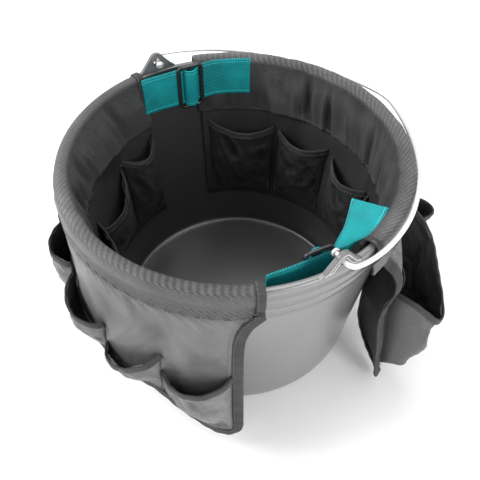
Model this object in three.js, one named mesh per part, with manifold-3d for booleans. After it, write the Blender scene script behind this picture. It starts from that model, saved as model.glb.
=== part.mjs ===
// Tool bucket organizer: a two-part sewn organizer folded over the rim of a round builder's bucket.
// Millimetres, +Z up. The origin is the centre of the bucket's underside, X is the bail's hinge axis,
// the half with the pliers pockets hangs on the -Y side and the half with the pouch and the drill
// holster on the +Y side. Angles are in degrees, counter-clockwise from +X seen from above.
import * as THREE from "three";
import { mergeVertices } from "three/addons/utils/BufferGeometryUtils.js";
import Module from "manifold-3d";

// Bucket
const BUCKET_HEIGHT = 262;
const BASE_RADIUS = 150;
const WALL_RADIUS_AT_LIP = 180;
const LIP_RADIUS = 185;
const LIP_HEIGHT = 10;
const STEP_RADIUS = 183.2;
const STEP_HEIGHT = 8;
const FLOOR = 4;
const LIP_INSIDE = WALL_RADIUS_AT_LIP - 2;
const FLOOR_INSIDE = BASE_RADIUS - 2.5;
const FOOT_CHAMFER = 4;
const LIP_CHAMFER = 1.5;
const BUCKET_SEGMENTS = 48;

// Ears and bail
const EAR_BASE = 48;
const EAR_HEIGHT = 22;
const EAR_TOP_RADIUS = 9;
const EAR_THICKNESS = 4.5;
const EAR_OUTER_X = 185.5;
const HINGE_HEIGHT = 274;
const HOLE_RADIUS = 4.2;
const WIRE_RADIUS = 2.5;
const HEAD_RADIUS = 4.6;
const HEAD_LENGTH = 4;
const HEAD_X = 173;
const BAIL_DROOP = 5;

// Cloth
const GAP = 0.4;
const SEAM_GAP = 1;
const CLOTH = 2;
const RIM_CLOTH = 2.4;
const BINDING = 3.2;
const BINDING_WIDTH = 10;
const BINDING_ANGLE = 2.9;
const RIM_OUTER = 189.4;
const RIM_INNER = 173.2;
const RIM_TOP = 266.6;
const RIM_BAND_OUTER_Z = 226;
const RIM_BAND_INNER_Z = 196;
const INNER_PANEL_Z = 60;
const CORNER_RADIUS = 18;
const CURVE_HEIGHT = 32;
const EDGE_CURVE = 14;
const PANEL_TOP = 190;
const PRESSED_BELOW = 130;
const HEM_UNDER_POCKETS = 84;
const HEM_RISE = 9;
const EDGE_BELLY = 16;
const EDGE_BELLY_Z = 190;
const EDGE_BELLY_SPREAD = 36;

// Pockets
const POUCH_FLOOR_SHARE = 0.25;
const POCKET_DEPTH = 19;
const POCKET_CLOTH = 1.8;
const POCKET_BINDING = 2.2;
const MOUTH_DIP = 0.8;
const BOX_TAPER = 0.62;
const STITCH_STAND = CLOTH + SEAM_GAP;

// Webbing and slide buckles
const WEBBING = 1.8;
const WEBBING_WIDTH = 50;
const BUCKLE_LENGTH = 62;
const BUCKLE_WIDTH = 34;
const BUCKLE_THICKNESS = 3.2;
const BUCKLE_BAR = 5;
const BUCKLE_CORNER = 6;
const LAP_REACH = 8.6;
const LAP_RISE = BUCKLE_THICKNESS + WEBBING + 2.6;
const LAP_STAND = 0.8;

const wasm = await Module();
wasm.setup();

const organizer = new THREE.Group();

// ---------------------------------------------------------------- helpers

const lerp = THREE.MathUtils.lerp;
const clamp = THREE.MathUtils.clamp;
const radians = THREE.MathUtils.degToRad;

function smooth(from, to, value) {
  const t = clamp((value - from) / (to - from), 0, 1);
  return t * t * (3 - 2 * t);
}

function polar(angle, radius, z) {
  const a = radians(angle);
  return new THREE.Vector3(radius * Math.cos(a), radius * Math.sin(a), z);
}

function addPiece(name, geometry, colour, roughness, metalness = 0, parent = organizer) {
  geometry.computeVertexNormals();
  const material = new THREE.MeshStandardMaterial({ color: colour, roughness, metalness });
  const mesh = new THREE.Mesh(geometry, material);
  mesh.name = name;
  parent.add(mesh);
  return mesh;
}

const COLOURS = {
  bucket: 0xa9abac,
  wire: 0xe9e9e6,
  weave: 0x6f6f70,
  panel: 0x7c7d7e,
  lining: 0x242424,
  binding: 0x4c4d4e,
  webbing: 0x0f9a9c,
  buckle: 0x55565a,
};

const addCloth = (name, geometry, colour) => addPiece(name, geometry, COLOURS[colour], 0.9);

// The closed solid between two grids of points. The front grid faces along (first index) x (second).
function solidBetween(front, back) {
  const columns = front.length;
  const rows = front[0].length;
  const index = (side, i, k) => side * columns * rows + i * rows + k;
  const positions = [front, back].flat(2).flatMap((point) => point.toArray());
  const faces = [];
  const quad = (a, b, c, d) => faces.push(a, b, c, a, c, d);
  for (let i = 0; i + 1 < columns; i++) {
    for (let k = 0; k + 1 < rows; k++) {
      quad(index(0, i, k), index(0, i + 1, k), index(0, i + 1, k + 1), index(0, i, k + 1));
      quad(index(1, i, k), index(1, i, k + 1), index(1, i + 1, k + 1), index(1, i + 1, k));
    }
    const top = rows - 1;
    quad(index(0, i, 0), index(1, i, 0), index(1, i + 1, 0), index(0, i + 1, 0));
    quad(index(0, i, top), index(0, i + 1, top), index(1, i + 1, top), index(1, i, top));
  }
  for (let k = 0; k + 1 < rows; k++) {
    const last = columns - 1;
    quad(index(0, 0, k), index(0, 0, k + 1), index(1, 0, k + 1), index(1, 0, k));
    quad(index(0, last, k), index(1, last, k), index(1, last, k + 1), index(0, last, k + 1));
  }
  const geometry = new THREE.BufferGeometry();
  geometry.setAttribute("position", new THREE.Float32BufferAttribute(positions, 3));
  geometry.setIndex(faces);
  return geometry;
}

// A sheet of even thickness behind the front face surface(u, v), with u and v from 0 to 1.
function sheet(surface, thickness, columns, rows) {
  const step = 1e-3;
  const normalAt = (u, v) => {
    const u0 = Math.min(u, 1 - step);
    const v0 = Math.min(v, 1 - step);
    const here = surface(u0, v0);
    const alongU = surface(u0 + step, v0).sub(here);
    const alongV = surface(u0, v0 + step).sub(here);
    return alongU.cross(alongV).normalize();
  };
  const front = [];
  const back = [];
  for (let i = 0; i <= columns; i++) {
    const u = i / columns;
    const frontColumn = [];
    const backColumn = [];
    for (let k = 0; k <= rows; k++) {
      const v = k / rows;
      const point = surface(u, v);
      frontColumn.push(point);
      backColumn.push(point.clone().addScaledVector(normalAt(u, v), -thickness));
    }
    front.push(frontColumn);
    back.push(backColumn);
  }
  return solidBetween(front, back);
}

function toManifold(geometry) {
  const bare = geometry.clone();
  bare.deleteAttribute("normal");
  bare.deleteAttribute("uv");
  const merged = mergeVertices(bare, 1e-3);
  const vertProperties = merged.attributes.position.array;
  const triVerts = new Uint32Array(merged.index.array);
  return new wasm.Manifold(new wasm.Mesh({ numProp: 3, vertProperties, triVerts }));
}

function fromManifold(solid) {
  const mesh = solid.getMesh();
  const geometry = new THREE.BufferGeometry();
  geometry.setAttribute("position", new THREE.BufferAttribute(mesh.vertProperties, 3));
  geometry.setIndex(new THREE.BufferAttribute(mesh.triVerts, 1));
  return geometry;
}

// ---------------------------------------------------------------- bucket

function bucketRadius(z) {
  return lerp(BASE_RADIUS, WALL_RADIUS_AT_LIP, z / (BUCKET_HEIGHT - LIP_HEIGHT - STEP_HEIGHT));
}

function insideRadius(z) {
  return lerp(FLOOR_INSIDE, LIP_INSIDE, (z - FLOOR) / (BUCKET_HEIGHT - FLOOR));
}

function addBucket() {
  const lipFoot = BUCKET_HEIGHT - LIP_HEIGHT;
  const stepFoot = lipFoot - STEP_HEIGHT;
  const profile = [
    [0, 0],
    [BASE_RADIUS - FOOT_CHAMFER, 0],
    [BASE_RADIUS, FOOT_CHAMFER + 1],
    [bucketRadius(stepFoot), stepFoot],
    [STEP_RADIUS, stepFoot],
    [STEP_RADIUS, lipFoot],
    [LIP_RADIUS, lipFoot],
    [LIP_RADIUS, BUCKET_HEIGHT - LIP_CHAMFER],
    [LIP_RADIUS - LIP_CHAMFER, BUCKET_HEIGHT],
    [LIP_INSIDE, BUCKET_HEIGHT],
    [FLOOR_INSIDE, FLOOR],
    [0, FLOOR],
  ];
  const points = profile.map(([r, z]) => new THREE.Vector2(r, z));
  const geometry = new THREE.LatheGeometry(points, BUCKET_SEGMENTS);
  geometry.rotateX(Math.PI / 2);
  addPiece("bucket_shell", geometry, COLOURS.bucket, 0.45);
}

// A flat upright plate with a rounded top, standing on the lip. side is 1 at +X and -1 at -X.
function addEar(name, side) {
  const half = EAR_BASE / 2;
  const crown = EAR_HEIGHT - EAR_TOP_RADIUS;
  const outline = new THREE.Shape();
  outline.moveTo(-half, 0);
  outline.lineTo(half, 0);
  outline.lineTo(half - 4, 3);
  outline.lineTo(EAR_TOP_RADIUS * 0.9, crown + EAR_TOP_RADIUS * 0.45);
  outline.absarc(0, crown, EAR_TOP_RADIUS, radians(27), radians(153), false);
  outline.lineTo(-half + 4, 3);
  outline.closePath();
  const hole = new THREE.Path();
  hole.absarc(0, HINGE_HEIGHT - BUCKET_HEIGHT - GAP, HOLE_RADIUS, 0, Math.PI * 2, true);
  outline.holes.push(hole);
  const options = { depth: EAR_THICKNESS, bevelEnabled: false, curveSegments: 8 };
  const geometry = new THREE.ExtrudeGeometry(outline, options);
  // The outline's x runs along Y, its y runs up, and the plate's thickness lies along X.
  geometry.rotateX(Math.PI / 2);
  geometry.rotateZ(Math.PI / 2);
  const ear = addPiece(name, geometry, COLOURS.bucket, 0.5);
  ear.position.set(side > 0 ? EAR_OUTER_X - EAR_THICKNESS : -EAR_OUTER_X, 0, BUCKET_HEIGHT + GAP);
}

// The bail's centre line, in a plane through the hinge axis: x along the axis, y away from it.
function bailRoute() {
  const side = [
    [172, 0],
    [183, 0],
    [190, 0.6],
    [194.6, 4],
    [196, 11],
    [195, 28],
    [187.4, 58],
    [171, 93],
    [145.5, 127],
    [113, 157],
    [77, 181],
    [41, 199],
    [12, 209],
  ];
  const points = [...side, [0, 210.5], ...side.map(([x, y]) => [-x, y]).reverse()];
  return new THREE.CatmullRomCurve3(points.map(([x, y]) => new THREE.Vector3(x, y, 0)));
}

function addBail() {
  const section = new THREE.Shape();
  section.absarc(0, 0, WIRE_RADIUS, 0, Math.PI * 2, false);
  const wire = new THREE.ExtrudeGeometry(section, {
    steps: 72,
    curveSegments: 4,
    extrudePath: bailRoute(),
  });
  let solid = toManifold(wire);
  for (const side of [1, -1]) {
    const head = new THREE.CylinderGeometry(HEAD_RADIUS, HEAD_RADIUS, HEAD_LENGTH, 12);
    head.rotateZ(Math.PI / 2);
    head.translate(side * HEAD_X, 0, 0);
    solid = solid.add(toManifold(head));
  }
  const bail = addPiece("bail_wire", fromManifold(solid), COLOURS.wire, 0.35, 0.4);
  bail.position.z = HINGE_HEIGHT;
  bail.rotation.x = radians(-BAIL_DROOP);
}

// ---------------------------------------------------------------- the two halves

// Each half states where its outer panel's edges hang and where they meet the rim band, where the rim
// band itself ends, how low its corners hang, and how far out the panel stands.
const PLIERS = {
  name: "pliers",
  low: -166,
  high: -29,
  topLow: -172,
  topHigh: -23,
  rimLow: -172,
  rimHigh: -23,
  cornerHem: 20,
  radius: (angle, z) => lerp(PANEL_TOP, 207, (RIM_BAND_OUTER_Z - z) / RIM_BAND_OUTER_Z),
};
const DRILL = {
  name: "drill",
  low: 21,
  high: 157,
  topLow: 18,
  topHigh: 165,
  rimLow: 13,
  rimHigh: 165,
  cornerHem: 5,
  radius: (angle, z) => {
    const hang = Math.max(0, RIM_BAND_OUTER_Z - z);
    const free = lerp(PANEL_TOP, 218, (hang / RIM_BAND_OUTER_Z) ** 1.2);
    const pressed = lerp(PANEL_TOP, 167, Math.min(1, hang / PRESSED_BELOW));
    const hold = smooth(21, 41, angle) * smooth(157, 138, angle);
    const belly = Math.exp(-(((z - EDGE_BELLY_Z) / EDGE_BELLY_SPREAD) ** 2));
    return lerp(free, pressed, hold) + EDGE_BELLY * belly * smooth(40, 21, angle);
  },
};

// Heights up a panel: its lower half runs to just under the rim band, its upper half over the curve.
function panelHeight(foot, v) {
  const top = RIM_BAND_OUTER_Z - GAP;
  const curve = top - CURVE_HEIGHT;
  return v < 0.5 ? lerp(foot, curve, v * 2) : lerp(curve, top, v * 2 - 1);
}

// The free edges curve in towards the panel just under the rim band.
function edgeAngle(half, end, z) {
  const rim = end === "low" ? half.topLow : half.topHigh;
  const hang = half[end];
  return lerp(hang, rim, Math.exp((z - RIM_BAND_OUTER_Z) / EDGE_CURVE));
}

// The hem hangs low at the two corners, and is higher under the row of pockets.
function hemHeight(half, angle) {
  const fromEdge = Math.min(angle - half.low, half.high - angle);
  const rise = HEM_RISE * smooth(36, 60, fromEdge);
  const hem = lerp(half.cornerHem, HEM_UNDER_POCKETS, smooth(4, 31, fromEdge)) + rise;
  const distance = Math.max(0, radians(fromEdge) * 200);
  const inside = CORNER_RADIUS - Math.min(distance, CORNER_RADIUS);
  return hem + CORNER_RADIUS - Math.sqrt(CORNER_RADIUS ** 2 - inside ** 2);
}

function skirtPoint(half, angle, z, proud = 0) {
  return polar(angle, half.radius(angle, z) + proud, z);
}

function addHalf(half) {
  const inset = BINDING_ANGLE + 0.15;

  // Rim band: up the outside, over the lip in a half round, and down the inside.
  const middle = (RIM_OUTER + RIM_INNER) / 2;
  const reach = (RIM_OUTER - RIM_INNER) / 2;
  const shoulder = RIM_TOP - reach * 0.75;
  const bandFoot = insideRadius(RIM_BAND_INNER_Z) - RIM_CLOTH - 2 * GAP;
  const bandRows = 8;
  const bandPoint = (angle, v) => {
    const row = v * bandRows;
    if (row < 1) return polar(angle, RIM_OUTER, lerp(RIM_BAND_OUTER_Z, shoulder, row));
    if (row > bandRows - 2) {
      const t = (row - bandRows + 2) / 2;
      return polar(angle, lerp(RIM_INNER, bandFoot, t), lerp(shoulder, RIM_BAND_INNER_Z, t));
    }
    const turn = ((row - 1) / (bandRows - 3)) * Math.PI;
    const radius = middle + reach * Math.cos(turn);
    return polar(angle, radius, shoulder + reach * 0.75 * Math.sin(turn) ** 0.8);
  };
  const bandAngle = (u) => lerp(half.rimLow, half.rimHigh, u);
  const band = sheet((u, v) => bandPoint(bandAngle(u), v), RIM_CLOTH, 22, bandRows);
  addCloth(half.name + "_rim_band", band, "weave");

  // Outer panel, framed by its bindings on three sides.
  const panel = (u, v) => {
    const flat = lerp(half.low + inset, half.high - inset, u);
    const z = panelHeight(hemHeight(half, flat) + BINDING_WIDTH + SEAM_GAP, v);
    const low = edgeAngle(half, "low", z) + inset;
    const high = edgeAngle(half, "high", z) - inset;
    return skirtPoint(half, lerp(low, high, u), z);
  };
  addCloth(half.name + "_outer_panel", sheet(panel, CLOTH, 24, 6), "panel");

  for (const end of ["low", "high"]) {
    const inward = end === "low" ? 1 : -1;
    const edge = (u, v) => {
      const across = inward * BINDING_ANGLE * (end === "low" ? u : 1 - u);
      const foot = hemHeight(half, half[end] + across);
      const z = panelHeight(foot, v);
      return skirtPoint(half, edgeAngle(half, end, z) + across, z, 0.6);
    };
    const place = (half === PLIERS) === (end === "high") ? "front" : "rear";
    const binding = sheet(edge, BINDING, 2, 6);
    addCloth(half.name + "_" + place + "_edge_binding", binding, "binding");
  }

  const hem = (u, v) => {
    const angle = lerp(half.low + inset, half.high - inset, u);
    return skirtPoint(half, angle, hemHeight(half, angle) + BINDING_WIDTH * v, 0.6);
  };
  addCloth(half.name + "_hem_binding", sheet(hem, BINDING, 24, 1), "binding");

  // Inner panel, against the bucket's wall.
  const lining = (u, v) => {
    const angle = lerp(half.rimLow + 1, half.rimHigh - 1, u);
    const z = lerp(RIM_BAND_INNER_Z - GAP, INNER_PANEL_Z, v);
    return polar(angle, liningRadius(z), z);
  };
  addCloth(half.name + "_inner_panel", sheet(lining, CLOTH, 20, 2), "lining");
}

function liningRadius(z) {
  return insideRadius(z) - CLOTH - 2 * GAP;
}

// ---------------------------------------------------------------- pockets

// A pocket is a puffed front sewn to its panel along both sides and its bottom. Its mouth hangs open
// between the two seams. low and high are the seams' angles, mouthLow and mouthHigh the mouth's
// heights there, sag how far the mouth's middle hangs below them, and depth how far it stands out.
// A boxy pocket has a bottom, which slopes down by floorSlope towards the panel. A flat one has none.
// A skew under 1 moves the fullest part of a pocket towards its low side.
function mouthHeight(pocket, u) {
  const level = lerp(pocket.mouthLow, pocket.mouthHigh, u);
  const { skew = 1, dip = MOUTH_DIP } = pocket;
  return level - pocket.sag * Math.max(0, Math.sin(Math.PI * u ** skew)) ** dip;
}

function addPocket(pocket, wall, outward, colour) {
  const { name, low, high, depth, foot, floorSlope = 0, skew = 1 } = pocket;
  const boxy = floorSlope > 0;
  const point = (u, z, reach = 1) => {
    const angle = lerp(low, high, u);
    const height = (z - foot(angle)) / (mouthHeight(pocket, u) - foot(angle));
    const rounding = boxy ? lerp(BOX_TAPER, 1, smooth(0, 0.6, height)) : smooth(-0.12, 0.55, height);
    const fullness = Math.max(0, Math.sin(Math.PI * u ** skew)) ** 0.7;
    const belly = fullness * rounding * reach - 0.1;
    const stand = STITCH_STAND + Math.max(0, belly) * depth;
    return polar(angle, wall(angle, z) + outward * stand, z);
  };
  const body = (u, v) => {
    const up = outward > 0 ? v : 1 - v;
    const angle = lerp(low, high, u);
    const top = mouthHeight(pocket, u) - BINDING_WIDTH - GAP;
    const shoulder = foot(angle) + floorSlope;
    if (!boxy) return point(u, lerp(shoulder, top, up));
    if (up < POUCH_FLOOR_SHARE) {
      const reach = up / POUCH_FLOOR_SHARE;
      return point(u, foot(angle) + floorSlope * reach, reach);
    }
    return point(u, lerp(shoulder, top, (up - POUCH_FLOOR_SHARE) / (1 - POUCH_FLOOR_SHARE)));
  };
  const lip = (u, v) => {
    const up = outward > 0 ? v : 1 - v;
    return point(u, mouthHeight(pocket, u) - BINDING_WIDTH * (1 - up));
  };
  addCloth(name, sheet(body, POCKET_CLOTH, 10, 4), colour);
  addCloth(name + "_binding", sheet(lip, POCKET_BINDING, 10, 1), "binding");
}

function addPockets() {
  const outerFoot = (half) => (angle) => hemHeight(half, angle) + BINDING_WIDTH + 2;
  const pliersWall = (angle, z) => PLIERS.radius(angle, z) + 0.6;
  const drillWall = (angle, z) => DRILL.radius(angle, z) + 0.6;
  const liningWall = (angle, z) => liningRadius(z);

  const pliersPockets = [
    [-53.4, -32.3, 128, 138, 5],
    [-75.6, -54, 118, 155, 7],
    [-96.4, -76.2, 164, 150, 6],
    [-117, -97, 178, 178, 5],
    [-138, -117.6, 150, 166, 5],
    [-160, -138.6, 128, 136, 5],
  ];
  pliersPockets.forEach(([low, high, mouthLow, mouthHigh, sag], i) => {
    const foot = outerFoot(PLIERS);
    const name = "pliers_outer_pocket_" + (i + 1);
    const pocket = { name, low, high, mouthLow, mouthHigh, sag, depth: POCKET_DEPTH, foot };
    addPocket(pocket, pliersWall, 1, "panel");
  });

  const drillPockets = [
    ["pouch", 25.4, 47.5, 166, 222, 42, 66, 18, 0.5, 1.6],
    ["slim_sleeve", 50, 68, 186, 176, 6, 50, 0, 1, MOUTH_DIP],
    ["drill_holster", 73, 109, 214, 214, 22, 62, 20, 1, MOUTH_DIP],
    ["flat_pocket", 115, 150, 176, 176, 10, 24, 0, 1, MOUTH_DIP],
  ];
  for (const row of drillPockets) {
    const [name, low, high, mouthLow, mouthHigh, sag, depth, floorSlope, skew, dip] = row;
    const foot = outerFoot(DRILL);
    const shape = { low, high, mouthLow, mouthHigh, sag, depth, floorSlope, skew, dip };
    const pocket = { name, foot, ...shape };
    addPocket(pocket, drillWall, 1, "panel");
  }

  const innerFoot = () => INNER_PANEL_Z + 8;
  const innerPockets = [
    ["pliers_inner_pocket_1", -74, -36, 165, 165, 8],
    ["pliers_inner_pocket_2", -118, -80, 165, 165, 8],
    ["pliers_inner_pocket_3", -149, -122, 168, 140, 8],
    ["pliers_inner_pocket_4", -170.5, -151, 188, 180, 10],
    ["drill_inner_pocket_1", 40, 68, 170, 170, 8],
    ["drill_inner_pocket_2", 71, 97, 170, 166, 6],
    ["drill_inner_pocket_3", 101, 127, 174, 173, 6],
    ["drill_inner_pocket_4", 130, 161, 176, 184, 8],
  ];
  for (const [name, low, high, mouthLow, mouthHigh, sag] of innerPockets) {
    const depth = POCKET_DEPTH;
    const pocket = { name, low, high, mouthLow, mouthHigh, sag, depth, foot: innerFoot };
    addPocket(pocket, liningWall, -1, "lining");
  }
}

// ---------------------------------------------------------------- straps

// A slide buckle is a rounded frame with a middle bar, standing upright against the webbing's inner
// face. Its lap of webbing rises over the middle bar. Both slide along the webbing together.
function addBuckle(name, angle, distance, along, z) {
  const frame = new THREE.Group();
  const half = BUCKLE_LENGTH / 2;
  const reach = BUCKLE_WIDTH / 2;
  const c = BUCKLE_CORNER;
  const outline = new THREE.Shape();
  outline.moveTo(-reach + c, -half);
  outline.lineTo(reach - c, -half);
  outline.quadraticCurveTo(reach, -half, reach, -half + c);
  outline.lineTo(reach, half - c);
  outline.quadraticCurveTo(reach, half, reach - c, half);
  outline.lineTo(-reach + c, half);
  outline.quadraticCurveTo(-reach, half, -reach, half - c);
  outline.lineTo(-reach, -half + c);
  outline.quadraticCurveTo(-reach, -half, -reach + c, -half);
  const near = BUCKLE_BAR / 2;
  const far = reach - BUCKLE_BAR + 0.5;
  const tall = half - BUCKLE_BAR;
  for (const side of [1, -1]) {
    const slot = new THREE.Path();
    slot.moveTo(side * near, -tall);
    slot.lineTo(side * near, tall);
    slot.lineTo(side * far, tall - 1.5);
    slot.lineTo(side * far, 1.5 - tall);
    outline.holes.push(slot);
  }
  const options = { depth: BUCKLE_THICKNESS, bevelEnabled: false, curveSegments: 4 };
  addPiece(name, new THREE.ExtrudeGeometry(outline, options), COLOURS.buckle, 0.35, 0.8, frame);

  const lapHalf = WEBBING_WIDTH / 2;
  const lapPoint = (u, v) => {
    const turn = lerp(Math.PI, 0, u);
    const x = LAP_REACH * Math.cos(turn);
    const z = LAP_RISE * Math.sin(turn) + LAP_STAND;
    return new THREE.Vector3(x, lerp(-lapHalf, lapHalf, v), z);
  };
  addPiece(name + "_lap", sheet(lapPoint, WEBBING, 10, 1), COLOURS.webbing, 0.85, 0, frame);

  // The frame's own x runs along the webbing, y up, and z towards the bucket's axis.
  const out = new THREE.Vector3(Math.cos(radians(angle)), Math.sin(radians(angle)), 0);
  const tangent = new THREE.Vector3(-out.y, out.x, 0);
  const up = new THREE.Vector3(0, 0, 1);
  const basis = new THREE.Matrix4().makeBasis(tangent.clone().negate(), up, out.clone().negate());
  frame.setRotationFromMatrix(basis);
  frame.position.copy(out.clone().multiplyScalar(distance - GAP)).addScaledVector(tangent, along);
  frame.position.z = z;
  organizer.add(frame);
}

// Upright webbing that follows radiusAt(angle) from angle to angle, with its inner face in front.
function uprightWebbing(low, high, radiusAt, lowZ, highZ, columns) {
  const face = (u, v) => {
    const angle = lerp(low, high, u);
    const z = lerp(lowZ, highZ, u) + WEBBING_WIDTH * (1 - v);
    return polar(angle, radiusAt(angle), z);
  };
  return sheet(face, WEBBING, columns, 2);
}

function addStraps() {
  // Rear strap: sewn to the drill half's rim band, straight across the gap, under the pliers half's end.
  const rearMiddle = 173;
  const rearSpread = 15;
  const rearRadius = 166.6;
  const rearChord = rearRadius * Math.cos(radians(rearSpread));
  const rearAt = (angle) => {
    const off = Math.abs(angle - rearMiddle);
    return off < rearSpread ? rearChord / Math.cos(radians(off)) : rearRadius;
  };
  addCloth("rear_strap", uprightWebbing(142, 190, rearAt, 221, 216, 16), "webbing");
  addBuckle("rear_buckle", rearMiddle, rearChord, -12, 242.6);

  // Front strap: straight and upright across the front gap, then twisting towards the drill half.
  const frontMiddle = -6;
  const frontSpread = 15;
  const frontRadius = 165;
  const frontChord = frontRadius * Math.cos(radians(frontSpread));
  const frontAt = (angle) => frontChord / Math.cos(radians(angle - frontMiddle));
  addCloth("front_strap_tail", uprightWebbing(-21.5, 9, frontAt, 211, 211, 10), "webbing");
  addBuckle("front_buckle", frontMiddle, frontChord, 11, 236);

  const outerEdge = new THREE.CatmullRomCurve3([
    polar(9.3, frontAt(9), 261),
    polar(16, 167, 255),
    polar(25, 169, 251),
    polar(35, 170, 248),
  ]);
  const innerEdge = new THREE.CatmullRomCurve3([
    polar(9.3, frontAt(9), 211),
    polar(12, 143, 222),
    polar(26, 134, 226),
    polar(42, 130, 231),
  ]);
  const twisted = (u, v) => outerEdge.getPoint(u).lerp(innerEdge.getPoint(u), v);
  addCloth("front_strap", sheet(twisted, WEBBING, 14, 3), "webbing");
}

addBucket();
addEar("ear_front", 1);
addEar("ear_rear", -1);
addBail();
addHalf(PLIERS);
addHalf(DRILL);
addPockets();
addStraps();

export default organizer;
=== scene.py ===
"""Tool bucket organizer: the looks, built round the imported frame.

Lengths are millimetres until a mesh is made, then metres.
"""
import math
from collections import namedtuple

import bpy
import numpy as np
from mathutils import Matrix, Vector


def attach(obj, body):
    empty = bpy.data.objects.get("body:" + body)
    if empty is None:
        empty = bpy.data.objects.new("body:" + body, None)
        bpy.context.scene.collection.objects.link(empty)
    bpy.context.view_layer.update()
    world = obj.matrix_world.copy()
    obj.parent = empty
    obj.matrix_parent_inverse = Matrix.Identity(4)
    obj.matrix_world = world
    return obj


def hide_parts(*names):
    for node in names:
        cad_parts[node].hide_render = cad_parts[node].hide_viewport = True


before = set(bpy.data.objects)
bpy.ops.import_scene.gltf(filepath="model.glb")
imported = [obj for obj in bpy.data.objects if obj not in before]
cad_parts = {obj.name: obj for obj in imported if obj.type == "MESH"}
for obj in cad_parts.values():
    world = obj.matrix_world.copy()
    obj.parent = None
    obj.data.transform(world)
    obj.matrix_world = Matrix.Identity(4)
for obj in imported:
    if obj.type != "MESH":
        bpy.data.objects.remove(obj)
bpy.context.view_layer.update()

# ---- sizes, as in the CAD
MM = 0.001
BUCKET_HEIGHT, BASE_RADIUS, WALL_AT_LIP, LIP_UNDERSIDE = 262, 150, 180, 244
FLOOR, FLOOR_INSIDE, LIP_INSIDE = 4, 147.5, 178
HINGE_HEIGHT, WIRE_RADIUS, BAIL_DROOP = 274, 2.5, 5
RIM_OUTER, RIM_INNER, RIM_TOP = 189.4, 173.2, 266.6
BAND_OUTER_Z, BAND_INNER_Z, INNER_PANEL_Z = 226, 196, 60
BINDING_WIDTH, CORNER_RADIUS, CURVE_HEIGHT, EDGE_CURVE = 10, 18, 32, 14
HEM_UNDER_POCKETS, HEM_RISE = 84, 9
EDGE_BELLY, EDGE_BELLY_Z, EDGE_BELLY_SPREAD = 16, 190, 36
PANEL_TOP, PRESSED_BELOW, MOUTH_DIP, BOX_TAPER = 190, 130, 0.8, 0.62
PLIERS_HEM_RADIUS, DRILL_HEM_RADIUS, PRESSED_HEM_RADIUS, FREE_HANG_POWER = 207, 218, 167, 1.2
CLOTH, TAPE, SKIN = 1.6, 3.2, 0.9
MOUTH_TAPE_WIDTH, MOUTH_TAPE, END_TAPE_WIDTH, END_TAPE = 9.0, 2.6, 9, 3.0
POCKET_DEPTH, FLOOR_SHARE, DEEP_POCKET = 19, 0.25, 30
PANEL_GAP, PANEL_LAP, INNER_POCKET_FOOT = 2, 2.5, 8
WEBBING, WEBBING_WIDTH = 1.8, 50
REAR_STRAP_ANGLE, REAR_STRAP_RADIUS = 173, 166.6
FRONT_STRAP_ANGLE, FRONT_STRAP_RADIUS = -6, 165
STRAP_REACH = 15
BUCKLE_LENGTH, BUCKLE_WIDTH, BUCKLE_THICKNESS, BUCKLE_BAR = 62, 34, 3.2, 5


# ---- number helpers
def lerp(a, b, t):
    return a + (b - a) * t


def smooth(a, b, x):
    t = np.clip((x - a) / (b - a), 0, 1)
    return t * t * (3 - 2 * t)


def polar(angle, radius, z):
    a = np.radians(angle)
    angle, radius, z = np.broadcast_arrays(a, radius, z)
    return np.stack([radius * np.cos(angle), radius * np.sin(angle), z], -1).astype(float)


def unit(v):
    return v / np.maximum(np.linalg.norm(v, axis=-1, keepdims=True), 1e-9)


def value_noise(x, y, seed):
    table = np.random.RandomState(seed).uniform(-1, 1, (64, 64))
    xi, yi = np.floor(x).astype(int), np.floor(y).astype(int)
    fx, fy = x - xi, y - yi
    fx, fy = fx * fx * (3 - 2 * fx), fy * fy * (3 - 2 * fy)

    def at(a, b):
        return table[(xi + a) % 64, (yi + b) % 64]

    low = at(0, 0) * (1 - fx) + at(1, 0) * fx
    high = at(0, 1) * (1 - fx) + at(1, 1) * fx
    return low * (1 - fy) + high * fy


def folds(s, t, seed, size, stretch=1.0, sharp=0.0):
    """Soft folds about size mm apart, stretch times as long, with creased ridges as sharp nears 1."""
    broad = value_noise(s / size, t / (size * stretch), seed)
    fine = value_noise(s / (size * 0.43) + 7.1, t / (size * 0.43 * stretch) + 3.3, seed + 1)
    both = broad + 0.45 * fine
    return both * (1 - sharp) + sharp * (0.6 - 1.6 * np.abs(both))


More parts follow.
